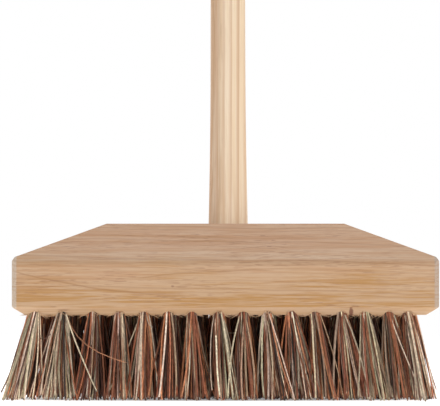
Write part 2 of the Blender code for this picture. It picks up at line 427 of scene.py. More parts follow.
@dataclass(frozen=True)
class GrainSizes:
    """How often the marks of sawn wood change in a metre, along and across it, and how they show."""

    drift: Scale = (7.0, 26.0, 26.0)
    fine: Scale = (38.0, 1250.0, 1250.0)
    fine_rough: float = 0.6
    broad: Scale = (9.0, 320.0, 320.0)
    dashes: Scale = (110.0, 1500.0, 1500.0)
    clusters: Scale = (12.0, 90.0, 90.0)
    patches: Scale = (8.0, 30.0, 30.0)
    late_start: Span = (0.35, 0.85)
    late_stop: Span = (0.87, 1.0)
    streak_span: Span = (0.41, 0.59)
    dash_span: Span = (0.54, 0.68)
    cluster_span: Span = (0.35, 0.65)
    sparse: float = 0.15
    tint_climb: float = 0.2
    tint_span: Span = (0.32, 0.68)
    streak_relief: float = 0.4
    pore_relief: float = 0.8


def grain_pattern(sizes: GrainSizes = GrainSizes()) -> Pattern:
    """Build the grain of sawn wood, whose fibres run along the coordinates' X.

    Its inputs are the growth rings' Spacing, the Side and Height of the tree's heart, their
    Slant along the board, how far they Wander and how strong the Faintest is, and the heights
    Low and High between which the board's tint changes. On the block that change is the
    wood's own tone; on the handle it is painted shade that darkens the stick's left side.

    Args:
        sizes: How its marks run and show.

    Returns:
        The group. Its outputs, from 0 to 1, are the dark late wood of the Rings, the fine
        Streaks, the dark Pores, the broad Tint and the Relief that the planing leaves.
    """
    pattern = Pattern(
        "wood grain",
        ("Spacing", "Side", "Height", "Slant", "Wander", "Faintest", "Low", "High"),
        ("Rings", "Streaks", "Pores", "Tint", "Relief"),
    )
    graph, given = pattern.graph, pattern.given
    vector = given["Vector"]
    axes = graph.place("SeparateXYZ", {0: vector}).outputs
    drift = graph.noise(vector, sizes.drift).outputs["Color"]
    drift = graph.place("SeparateColor", {0: drift}).outputs
    sideways, upwards = (
        graph.times(given["Wander"], graph.minus(drift[axis], 0.5)) for axis in (0, 1)
    )
    across = graph.plus(graph.minus(axes[1], given["Side"]), sideways)
    up = graph.minus(axes[2], given["Height"])
    up = graph.plus(up, graph.times(given["Slant"], axes[0]))
    up = graph.plus(up, upwards)
    square = graph.plus(graph.times(across, across), graph.times(up, up))
    year = graph.sum("DIVIDE", graph.sum("SQRT", square), given["Spacing"])
    season = graph.sum("FRACT", year)
    chance = {"W": graph.sum("FLOOR", year)}
    strength = graph.place("TexWhiteNoise", chance, noise_dimensions="1D").outputs[0]
    late = graph.ramp(season, *sizes.late_start)
    late = graph.times(late, graph.ramp(season, *sizes.late_stop, 1.0, 0.0))
    rings = graph.times(late, graph.ramp(strength, 0.0, 1.0, given["Faintest"], 1.0))
    fine = graph.noise(vector, sizes.fine, rough=sizes.fine_rough).outputs[0]
    broad = graph.noise(vector, sizes.broad).outputs[0]
    streaks = graph.ramp(graph.times(graph.plus(fine, broad), 0.5), *sizes.streak_span)
    dashes = graph.noise(vector, sizes.dashes, 1.0).outputs[0]
    clusters = graph.noise(vector, sizes.clusters, 1.0).outputs[0]
    pores = graph.ramp(dashes, *sizes.dash_span)
    pores = graph.times(pores, graph.ramp(clusters, *sizes.cluster_span, sizes.sparse, 1.0))
    patches = graph.noise(vector, sizes.patches).outputs[0]
    climb = {0: axes[2], 1: given["Low"], 2: given["High"], 3: -sizes.tint_climb, 4: sizes.tint_climb}
    climb = graph.place("MapRange", climb).outputs[0]
    tint = graph.ramp(graph.plus(patches, climb), *sizes.tint_span)
    relief = graph.minus(graph.times(streaks, sizes.streak_relief), graph.times(pores, sizes.pore_relief))
    pattern.give(Rings=rings, Streaks=streaks, Pores=pores, Tint=tint, Relief=relief)
    return pattern


def vein_pattern(
    wobbles: Scale = (45.0, 10.0, 10.0),
    wobble: float = 3 * MILLIMETRE,
    start: Span = (-0.02, 0.06),
    stop: Span = (0.8, 1.0),
) -> Pattern:
    """Build one dark vein that drops and then levels out as it runs along the coordinates' X.

    Args:
        wobbles: How often its line wobbles in a metre, along and across the board.
        wobble: How far it wobbles from one side to the other.
        start: Between which shares of its length it sets in.
        stop: Between which shares of its length it fades out.

    Returns:
        The group. Its output, the Vein, is 1 on the vein and 0 away from it.
    """
    pattern = Pattern("wood vein", ("Start", "Length", "Height", "Drop", "Width"), ("Vein",))
    graph, given = pattern.graph, pattern.given
    axes = graph.place("SeparateXYZ", {0: given["Vector"]}).outputs
    along = graph.sum("DIVIDE", graph.minus(axes[0], given["Start"]), given["Length"])
    left = graph.sum("SUBTRACT", 1.0, along, clamp=True)
    drop = graph.times(given["Drop"], graph.times(left, left))
    height = graph.plus(given["Height"], drop)
    astray = graph.noise(given["Vector"], wobbles).outputs[0]
    astray = graph.times(graph.minus(astray, 0.5), wobble)
    away = graph.sum("ABSOLUTE", graph.plus(graph.minus(axes[2], height), astray))
    line = graph.ramp(graph.sum("DIVIDE", away, given["Width"]), 0.0, 1.0, 1.0, 0.0)
    ends = graph.times(graph.ramp(along, *start), graph.ramp(along, *stop, 1.0, 0.0))
    pattern.give(Vein=graph.times(line, ends))
    return pattern


def speck_pattern(
    tears: Scale = (500.0, 900.0, 900.0), rim: Span = (0.45, 1.05), depth: float = 4 * MILLIMETRE
) -> Pattern:
    """Build one small dark speck with a torn outline, on the face towards -Y.

    Args:
        tears: How often its outline is torn in a metre, along and across the board.
        rim: Between which shares of its size it fades out.
        depth: How far on both sides of the board's middle it fades out towards the rear.

    Returns:
        The group. Its output, the Speck, is 1 in the speck and 0 away from it.
    """
    pattern = Pattern("wood speck", ("Along", "Height", "Length", "Rise"), ("Speck",))
    graph, given = pattern.graph, pattern.given
    axes = graph.place("SeparateXYZ", {0: given["Vector"]}).outputs
    along = graph.sum("DIVIDE", graph.minus(axes[0], given["Along"]), given["Length"])
    height = graph.sum("DIVIDE", graph.minus(axes[2], given["Height"]), given["Rise"])
    reach = graph.plus(graph.times(along, along), graph.times(height, height))
    torn = graph.noise(given["Vector"], tears).outputs[0]
    reach = graph.plus(graph.sum("SQRT", reach), graph.minus(torn, 0.5))
    front = graph.ramp(axes[1], -depth, depth, 1.0, 0.0)
    pattern.give(Speck=graph.times(graph.ramp(reach, *rim, 1.0, 0.0), front))
    return pattern


@dataclass(frozen=True)
class Speck:
    """A dark speck in a board, measured from the board's middle."""

    along: float
    height: float
    length: float
    rise: float
    strength: float


@dataclass(frozen=True)
class Vein:
    """A dark vein in a board, measured from the board's middle."""

    start: float
    length: float
    height: float
    drop: float
    width: float
    strength: float


def draw_faults(
    graph: Graph,
    board: Socket,
    colour: Socket,
    pattern: Pattern,
    faults: tuple[Speck, ...] | tuple[Vein, ...],
    dark: Colour,
) -> Socket:
    """Draw a board's faults of one kind over its colour.

    Args:
        graph: The material's tree.
        board: The board's coordinates.
        colour: The colour so far.
        pattern: The fault's node group, whose inputs are named like the fault's measures.
        faults: The faults.
        dark: Their colour.

    Returns:
        The new colour.
    """
    for fault in faults:
        sizes = {title.capitalize(): size for title, size in asdict(fault).items()}
        strength = sizes.pop("Strength")
        drawn = pattern.use(graph, {"Vector": board, **sizes}).outputs[0]
        colour = graph.mix(graph.times(drawn, strength), colour, dark)
    return colour


@dataclass
class WoodPatterns:
    """The node groups that bare wood is made of."""

    grain: Pattern = field(default_factory=grain_pattern)
    vein: Pattern = field(default_factory=vein_pattern)
    speck: Pattern = field(default_factory=speck_pattern)


@dataclass(frozen=True)
class WoodFinish:
    """Bare planed wood: its colours, how its growth rings run and how smooth it is."""

    name: str
    pale: Colour
    warm: Colour
    # tint is the wood's own tone on the block, and painted shade on the handle's left side.
    tint: Colour
    late: Colour
    pore: Colour
    dark: Colour
    spacing: float
    side: float
    height: float
    slant: float
    wander: float
    ring_share: float
    streak_share: float
    pore_share: float
    draw_out: float = 1.0
    faintest: float = 0.1
    tone_and_shade_low: float = -1.0
    tone_and_shade_high: float = 1.0
    smoothest: float = 0.46
    roughest: float = 0.62
    relief: float = 0.00012
    relief_share: float = 0.35
    # Painted sheen and wear: past end_from the ends are mixed towards left_end and right_end, paler and
    # greyer. This is partly sanded wear and partly painted sheen for the white reflected off the rounded
    # ends. right_end is darker than left_end, as painted light, to offset the brighter lamp on that side.
    left_end: Colour = (0.6, 0.48, 0.37)
    right_end: Colour = (0.6, 0.48, 0.37)
    end_from: float = 10.0
    end_share: float = 0.85
    # Painted shade: crown_shade is multiplied into the colour above crown_height, so the sloping top reads
    # darker and pinker than the front face, as if less lit.
    crown_shade: Colour = (1.0, 1.0, 1.0)
    crown_height: float = 10.0
    crown_fade: float = 0.009
    # Painted light: below hem_light_height the colour is mixed towards pale, standing in for light bounced
    # up from the floor onto the bottom chamfer.
    hem_light_height: float = -10.0
    hem_light_share: float = 0.55
    veins: tuple[Vein, ...] = ()
    specks: tuple[Speck, ...] = ()

    def material(self, patterns: "WoodPatterns", into_board: Matrix) -> Material:
        """Make the material.

        Args:
            patterns: The node groups of the grain and its faults.
            into_board: Takes a point of the object to the board's middle, with the grain along X.

        Returns:
            The material.
        """
        coat = Coat(self.name)
        graph = coat.graph
        turn = into_board.to_euler()
        place = {"Vector": coat.own, "Location": into_board.translation, "Rotation": turn}
        board = graph.place("Mapping", place).outputs[0]
        drawn = graph.stretch(board, (1 / self.draw_out, 1.0, 1.0))
        run = {"Vector": drawn, "Spacing": self.spacing, "Side": self.side, "Height": self.height}
        run |= {"Slant": self.slant, "Wander": self.wander, "Faintest": self.faintest}
        run |= {"Low": self.tone_and_shade_low, "High": self.tone_and_shade_high}
        wood = patterns.grain.use(graph, run).outputs
        # Tone and painted shade: on the handle the darker colour fills its left side, as if less lit.
        colour = graph.mix(wood["Tint"], self.warm, self.tint)
        colour = graph.mix(graph.times(wood["Streaks"], self.streak_share), colour, self.pale)
        axes = graph.place("SeparateXYZ", {0: board}).outputs
        # Painted shade: the slopes above crown_height are darkened by crown_shade.
        crown_shade = graph.ramp(axes[2], self.crown_height, self.crown_height + self.crown_fade)
        colour = graph.mix(crown_shade, colour, self.crown_shade, "MULTIPLY")
        # Painted sheen and wear: the rounded ends turn paler and greyer, and each side has its own colour
        # to offset its lamp.
        end = graph.mix(graph.sum("GREATER_THAN", axes[0], 0.0), self.left_end, self.right_end)
        end_wear_and_sheen = graph.sum("ABSOLUTE", axes[0])
        end_wear_and_sheen = graph.ramp(end_wear_and_sheen, self.end_from, self.end_from + MILLIMETRE, 0.0, self.end_share)
        colour = graph.mix(end_wear_and_sheen, colour, end)
        colour = graph.mix(graph.times(wood["Rings"], self.ring_share), colour, self.late)
        colour = draw_faults(graph, board, colour, patterns.vein, self.veins, self.late)
        colour = graph.mix(graph.times(wood["Pores"], self.pore_share), colour, self.pore)
        # Painted light: the bottom chamfer is lightened, as if lit from the floor below.
        hem_light = graph.ramp(axes[2], self.hem_light_height - MILLIMETRE, self.hem_light_height, self.hem_light_share, 0.0)
        colour = graph.mix(hem_light, colour, self.pale)
        colour = draw_faults(graph, board, colour, patterns.speck, self.specks, self.dark)
        rough = graph.ramp(wood["Streaks"], 0.0, 1.0, self.roughest, self.smoothest)
        normal = graph.bump(wood["Relief"], self.relief, self.relief_share)
        return coat.finish({"Base Color": colour, "Roughness": rough, "Normal": normal})


@dataclass(frozen=True)
class SteelFinish:
    """Zinc-plated steel with faint turning marks and a dull bloom."""

    name: str = "zinc_plated_steel"
    colour: Colour = (0.60, 0.58, 0.54)
    bloom: Colour = (0.42, 0.41, 0.40)
    smoothest: float = 0.28
    roughest: float = 0.5
    bloom_scale: float = 900.0
    bloom_detail: float = 3.0
    bloom_span: Span = (0.4, 0.65)
    rough_span: Span = (0.35, 0.7)
    relief: float = 0.00003
    relief_share: float = 0.3

    def material(self) -> Material:
        """Make the material.

        Returns:
            The material.
        """
        coat = Coat(self.name)
        graph = coat.graph
        cloud = graph.noise(coat.own, self.bloom_scale, self.bloom_detail).outputs[0]
        colour = graph.mix(graph.ramp(cloud, *self.bloom_span), self.colour, self.bloom)
        rough = graph.ramp(cloud, *self.rough_span, self.smoothest, self.roughest)
        normal = graph.bump(cloud, self.relief, self.relief_share)
        return coat.finish({"Base Color": colour, "Roughness": rough, "Normal": normal, "Metallic": 1.0})


@dataclass(frozen=True)
class FibreFinish:
    """Stiff plant fibre: each fibre's own colour, with fine lengthways streaks."""

    name: str = "plant_fibre"
    streak_scale: float = 1400.0
    streak_length_scale: float = 110.0
    streak_rough: float = 0.6
    streak_span: Span = (0.3, 0.7)
    darkest: float = 0.64
    lightest: float = 1.36
    roughness: float = 0.5
    relief: float = 0.00008
    relief_share: float = 0.4

    def material(self) -> Material:
        """Make the material.

        Returns:
            The material.
        """
        coat = Coat(self.name)
        graph = coat.graph
        scale = (self.streak_scale, self.streak_scale, self.streak_length_scale)
        streak = graph.noise(coat.own, scale, rough=self.streak_rough).outputs[0]
        shade = graph.ramp(streak, *self.streak_span, self.darkest, self.lightest)
        grey = graph.place("CombineColor", {0: shade, 1: shade, 2: shade}).outputs[0]
        dyed = graph.place("Attribute", {}, attribute_name=FIBRE_COLOUR).outputs["Color"]
        colour = graph.mix(1.0, dyed, grey, "MULTIPLY")
        normal = graph.bump(streak, self.relief, self.relief_share)
        return coat.finish({"Base Color": colour, "Roughness": self.roughness, "Normal": normal})


def tuft_lines(node: str, underside: float) -> list[tuple[Vector, Vector]]:
    """Find the tufts of one packed column, from its root plugs and its strands' tips.

    Args:
        node: The CAD node of the column.
        underside: The height of the block's underside.

    Returns:
        For each tuft, from front to back, its root on the underside and the middle of its tips.
    """
    corners = np.array([vertex.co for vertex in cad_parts[node].data.vertices])
    corners = np.unique(corners.round(6), axis=0)
    lines = []
    corners = corners[corners[:, 1].argsort()]
    tops = corners[corners[:, 2] > underside + Tufts.plug_depth_share * Tufts.hole_depth]
    tops = np.split(tops, np.flatnonzero(np.diff(tops[:, 1]) > Tufts.hole_radius) + 1)
    tips = np.array_split(corners[corners[:, 2] < WELD], len(tops))
    for top, tip in zip(tops, tips):
        top, tip = Vector(top.mean(0)), Vector(tip.mean(0))
        share = (underside - tip.z) / (top.z - tip.z)
        lines.append((tip.lerp(top, share), tip))
    return lines


class FibreKind(Enum):
    """The plant fibres in the mix: their colour and how thick they are beside a mean one."""

    CREAM = ((0.78, 0.62, 0.46), 1.05)
    STRAW = ((0.57, 0.48, 0.32), 1.05)
    TAN = ((0.45, 0.30, 0.20), 1.0)
    RUST = ((0.48, 0.19, 0.09), 1.0)
    CHESTNUT = ((0.27, 0.088, 0.042), 1.0)
    UMBER = ((0.13, 0.055, 0.035), 0.95)
    SOOT = ((0.042, 0.022, 0.014), 0.85)


class Blend(Enum):
    """How many fibres of each kind, in the order of FibreKind, a tuft is filled with."""

    PALE = (9, 9, 4, 3, 4, 3, 2)
    MIXED = (5, 3, 4, 5, 6, 5, 2)
    RUSTY = (2, 1, 4, 8, 8, 4, 2)
    DARK = (1, 1, 2, 4, 9, 9, 3)
    OLIVE = (3, 8, 4, 3, 4, 4, 2)
    # Painted shade: the rear rows get this darker mix, so the gaps between the front tufts read as shaded.
    DEEP = (1, 1, 2, 4, 7, 10, 4)


@dataclass(frozen=True)
class Stray:
    """One fibre that has left its tuft, in millimetres from the tuft's root."""

    column: int
    kind: FibreKind
    start: Point
    bend: Point
    end: Point
    radius: float


@dataclass
class Block:
    """The hardwood block: a bar planed to a gable, rounded, drilled for tufts and bored for the handle."""

    face_height: float = 0.037
    end_height: float = 0.040
    ridge_length: float = 0.168
    ridge_depth: float = 0.006
    long_chamfer: float = 0.0055
    end_chamfer_run: float = 0.009
    end_chamfer_rise: float = 0.0055
    corner_cut: float = 0.0030
    shoulder_cut: float = 0.0012
    brow_radius: float = 0.007
    brow_strokes: int = 4
    rounding: float = 0.0014
    knob_sides: int = 32
    flatness: float = math.radians(0.3)
    smooth_angle: float = math.radians(33)
    overrun: float = 0.002
    rim_splinters: int = 5
    edge_splinters: tuple[int, ...] = (16, 9, 6, 7, 5, 6, 5, 4, 6, 5, 6, 7, 5, 7, 6, 4)
    edge_scatter: float = 0.004
    splinter_radius: float = 0.00050
    splinter_lengths: Span = (0.0025, 0.0080)
    splinter_flatness: float = 0.7
    splinter_profile: Rings = ((1.0, 0.0), (0.7, 0.5), (0.15, 1.0))
    splinter_sink: float = 0.25
    splinter_sides: int = 5
    rim_turns: Span = (-1.05 * math.pi, 0.05 * math.pi)
    rim_droops: Span = (0.2, 1.0)
    edge_shifts: Span = (-0.2, 0.8)
    edge_depth: float = 0.0008
    edge_sways: Span = (-0.2, 0.05)
    edge_droops: Span = (0.05, 0.7)
    seed: int = 11
    low: Vector = field(default_factory=lambda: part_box("block")[0])
    high: Vector = field(default_factory=lambda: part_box("block")[1])

    @property
    def middle(self) -> Vector:
        """Give the middle of the block."""
        return (self.low + self.high) / 2

    @property
    def size(self) -> Vector:
        """Give the block's width, depth and height."""
        return self.high - self.low

    @property
    def slope_run(self) -> float:
        """Give how far a long slope reaches from the ridge to the face."""
        return (self.size.y - self.ridge_depth) / 2

    @property
    def slope_rise(self) -> float:
        """Give how far a long slope climbs."""
        return self.size.z - self.face_height

    @property
    def lean(self) -> float:
        """Give how far a line square to the rear slope leans back from upright."""
        return math.atan2(self.slope_rise, self.slope_run)

    def slanting_faces(self) -> Iterator[tuple[Vector, Vector]]:
        """Give the faces that are planed off the bar.

        Yields:
            A point on each face and the face's outward direction.
        """
        shoulder_run = (self.size.x - self.ridge_length) / 2
        shoulder_drop = self.size.z - self.end_height
        up = Vector((0, 0, 1))
        for side in (-1, 1):
            face = Vector((self.middle.x, self.middle.y + side * self.size.y / 2, self.low.z))
            end = Vector((self.middle.x + side * self.size.x / 2, self.middle.y, self.low.z))
            yield face + up * self.face_height, Vector((0, side * self.slope_rise, self.slope_run))
            shoulder = Vector((side * shoulder_drop, 0, shoulder_run)).normalized()
            yield end + up * self.end_height, shoulder
            halfway = (shoulder + Vector((side, 0, 0))).normalized()
            yield end + up * self.end_height - halfway * self.shoulder_cut, halfway
            yield face + up * self.long_chamfer, Vector((0, side, -1))
            below = Vector((side * self.end_chamfer_rise, 0, -self.end_chamfer_run))
            yield end + up * self.end_chamfer_rise, below
            for other in (-1, 1):
                corner = Vector((0, other * (self.size.y / 2 - self.corner_cut), 0))
                yield end + corner, Vector((side, other, 0))
            turn = math.pi / 2 - self.lean
            brow = face + up * (self.face_height - self.brow_radius * math.tan(turn / 2))
            centre = brow - Vector((0, side * self.brow_radius, 0))
            for stroke in range(1, self.brow_strokes):
                climb = turn * stroke / self.brow_strokes
                outward = Vector((0, side * math.cos(climb), math.sin(climb)))
                yield centre + outward * self.brow_radius, outward

    def shape_outside(self) -> Piece:
        """Plane a slightly smaller block and wrap it in skin as thick as the edges' rounding.

        Returns:
            The block without its holes.
        """
        inset = 2 * self.rounding
        size = {"size": 1, "location": self.middle, "scale": self.size - Vector((inset, inset, inset))}
        core = added("block_core", bpy.ops.mesh.primitive_cube_add, **size)
        with on_the_bench(core):
            for point, outward in self.slanting_faces():
                outward = outward.normalized()
                plane_off(point - outward * self.rounding, outward)
            bpy.ops.mesh.select_all(action="SELECT")
            bpy.ops.mesh.remove_doubles(threshold=WELD)
        places = [Matrix.Translation(vertex.co) for vertex in core.data.vertices]
        bpy.data.objects.remove(core)
        size = {"segments": self.knob_sides, "ring_count": self.knob_sides // 2, "radius": self.rounding}
        block = copies_at(added("shaped_block", bpy.ops.mesh.primitive_uv_sphere_add, **size), places)
        with on_the_bench(block):
            bpy.ops.mesh.convex_hull(
                join_triangles=True, face_threshold=self.flatness, shape_threshold=math.pi
            )
            bpy.ops.mesh.select_all(action="SELECT")
            bpy.ops.mesh.dissolve_limited(angle_limit=self.flatness)
        return block

    def splinters(self, tufts: "Tufts") -> Piece:
        """Raise the thin slivers that the drill tore at the front holes and along the lower edge.

        Args:
            tufts: The tufts whose front holes they stand at.

        Returns:
            The slivers, as one object.
        """
        rng = np.random.default_rng(self.seed)
        reach = tufts.hole_radius + self.splinter_radius
        edge = self.low.y + self.long_chamfer
        starts = []
        for column, count in zip(tufts.lines, self.edge_splinters):
            root = column[0][0]
            for turn in rng.uniform(*self.rim_turns, self.rim_splinters):
                rim = root + Vector((reach * math.cos(turn), reach * math.sin(turn), 0))
                rim.z = self.low.z + max(0.0, edge - rim.y)
                side = rng.choice((-1, 1))
                droop = -rng.uniform(*self.rim_droops)
                starts.append((rim, Vector((-side * math.sin(turn), side * math.cos(turn), droop))))
            for side in rng.choice((-1, 1), count):
                away = side * (tufts.hole_radius + rng.uniform(*self.edge_shifts) * self.edge_scatter)
                torn = Vector((root.x + away, edge + rng.uniform(0, self.edge_depth), self.low.z))
                way = Vector((side, rng.uniform(*self.edge_sways), -rng.uniform(*self.edge_droops)))
                starts.append((torn, way))
        places = []
        for start, way in starts:
            way.normalize()
            length = rng.uniform(*self.splinter_lengths)
            size = Vector((self.splinter_radius, self.splinter_radius * self.splinter_flatness, length))
            foot = start - way * length * self.splinter_sink
            places.append(Matrix.LocRotScale(foot, way.to_track_quat("Z", "Y"), size))
        return copies_at(turned_rod("splinter", self.splinter_profile, self.splinter_sides), places)

    def build(self, tufts: "Tufts", handle: "Handle", screw: "Screw") -> Piece:
        """Shape the block.

        The tufts' holes are drilled last: cut after them, the other two leave the mesh not quite
        closed, and in some runs a skin stays across the screw's hole.

        Args:
            tufts: The tufts whose holes are drilled.
            handle: The handle whose socket is bored.
            screw: The screw whose countersunk hole is bored.

        Returns:
            The finished block.
        """
        block = self.shape_outside()
        cut_away(block, handle.borer(), screw.borer(), tufts.drills())
        block = joined([block, self.splinters(tufts)])
        smooth(block, self.smooth_angle)
        alter(block, "WEIGHTED_NORMAL", keep_sharp=True)
        return block

    def dress(self, block: Piece, finish: WoodFinish, patterns: WoodPatterns) -> None:
        """Give the block its wood, with the grain along it."""
        into_board = Matrix.Translation(-self.middle)
        fit(block, finish.material(patterns, into_board), "block_wood", "block")


@dataclass
class Handle:
    """The round stick: straight, swelling towards its foot, with a domed top end."""

    block: Block
    length: float = 1.220
    radius: float = 0.0127
    foot_radius: float = 0.0143
    foot_depth: float = 0.0306
    foot_chamfer: float = 0.001
    taper_length: float = 0.170
    taper_steps: int = 10
    dome_height: float = 0.009
    dome_steps: int = 10
    tip_share: float = 0.02
    sides: int = 72
    clearance: float = 0.0003
    smooth_angle: float = math.radians(35)

    @property
    def place(self) -> Matrix:
        """Give the place of the socket's mouth.

        Returns:
            The place, with Z up the handle.
        """
        block = self.block
        across = sum(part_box("handle"), Vector()).x / 2
        mouth = Vector((across, block.high.y - block.slope_run / 2, block.high.z - block.slope_rise / 2))
        return Matrix.LocRotScale(mouth, Euler((-block.lean, 0, 0)), None)

    def profile(self) -> Rings:
        """Work out the stick's outline.

        Returns:
            (radius, height above the socket's mouth) of each ring, from the foot up.
        """
        foot = -self.foot_depth
        rings = [(self.foot_radius - self.foot_chamfer, foot), (self.foot_radius, foot + self.foot_chamfer)]
        for step in range(self.taper_steps + 1):
            share = step / self.taper_steps
            swell = (self.foot_radius - self.radius) * (1 - share) ** 2
            rings.append((self.radius + swell, self.taper_length * share))
        top = self.length - self.foot_depth
        for step in range(self.dome_steps + 1):
            angle = math.pi / 2 * step / self.dome_steps
            radius = max(self.radius * math.cos(angle), self.radius * self.tip_share)
            rings.append((radius, top - self.dome_height * (1 - math.sin(angle))))
        return rings

    def build(self, screw: "Screw") -> Piece:
        """Turn the stick, put it in its socket and bore it for the screw.

        Args:
            screw: The screw whose hole is bored.

        Returns:
            The finished stick.
        """
        stick = turned_rod("turned_handle", self.profile(), self.sides, self.place)
        cut_away(stick, screw.borer())
        smooth(stick, self.smooth_angle)
        return stick

    def borer(self) -> Piece:
        """Make what bores the handle's blind socket.

        Returns:
            The cutter, in its place.
        """
        radius = self.foot_radius + self.clearance
        rings = [(radius, -self.foot_depth - self.clearance), (radius, self.block.overrun)]
        return turned_rod("socket_borer", rings, self.sides, self.place)

    def dress(self, stick: Piece, finish: WoodFinish, patterns: WoodPatterns) -> None:
        """Give the handle its wood, with the grain up it."""
        into_board = Matrix.Rotation(math.pi / 2, 4, "Y") @ self.place.inverted()
        fit(stick, finish.material(patterns, into_board), "handle_wood", "handle")


@dataclass
class Screw:
    """The countersunk screw that holds the handle's foot, driven level into the rear face."""

    length: float = 0.030
    radius: float = 0.0020
    head_radius: float = 0.0040
    head_depth: float = 0.0024
    rim: float = 0.0004
    point: float = 0.003
    point_share: float = 0.1
    recess_length: float = 0.0044
    recess_width: float = 0.0010
    recess_depth: float = 0.0014
    recess_bottom_share: float = 0.55
    clearance: float = 0.0003
    overrun: float = 0.002
    sides: int = 48
    smooth_angle: float = math.radians(30)

    @property
    def place(self) -> Matrix:
        """Give the place of the head's middle.

        Returns:
            The place, with Z out of the block's rear face.
        """
        low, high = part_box("handle_screw")
        seat = Vector(((low.x + high.x) / 2, high.y, (low.z + high.z) / 2))
        return Matrix.LocRotScale(seat, Euler((-math.pi / 2, 0, 0)), None)

    def profile(self, gap: float, rise: float) -> Rings:
        """Work out the screw's outline, or that of the hole that it leaves.

        Args:
            gap: How much wider and longer it is than the screw.
            rise: How far it stands out of the block.

        Returns:
            (radius, height) of each ring, from the point up.
        """
        return [
            ((self.radius + gap) * self.point_share, -self.length - gap),
            (self.radius + gap, self.point - self.length),
            (self.radius + gap, -self.head_depth),
            (self.head_radius + gap, -self.rim),
            (self.head_radius + gap, rise),
        ]

    def recess(self, turn: float) -> Piece:
        """Make what presses one slot of the cross recess in the head, narrower towards its bottom.

        Args:
            turn: How far the slot is turned about the screw.

        Returns:
            The shape of the slot.
        """
        size = (self.recess_width, self.recess_length, 2 * self.recess_depth)
        wing = added("recess_wing", bpy.ops.mesh.primitive_cube_add, size=1, scale=size)
        for vertex in wing.data.vertices:
            if vertex.co.z < 0:
                vertex.co.y *= self.recess_bottom_share
        lay_in_place(wing, self.place @ Matrix.Rotation(turn, 4, "Z"))
        return wing

    def build(self) -> Piece:
        """Turn the screw and press its recess.

        Returns:
            The finished screw.
        """
        screw = turned_rod("countersunk_screw", self.profile(0.0, 0.0), self.sides, self.place)
        cut_away(screw, self.recess(0.0), self.recess(math.pi / 2))
        smooth(screw, self.smooth_angle)
        return screw

    def borer(self) -> Piece:
        """Make what bores the screw's hole."""
        rings = self.profile(self.clearance, self.overrun)
        return turned_rod("screw_borer", rings, self.sides, self.place)

    def dress(self, screw: Piece, finish: SteelFinish) -> None:
        """Give the screw its plated steel."""
        fit(screw, finish.material(), "screw_steel", "handle_screw")


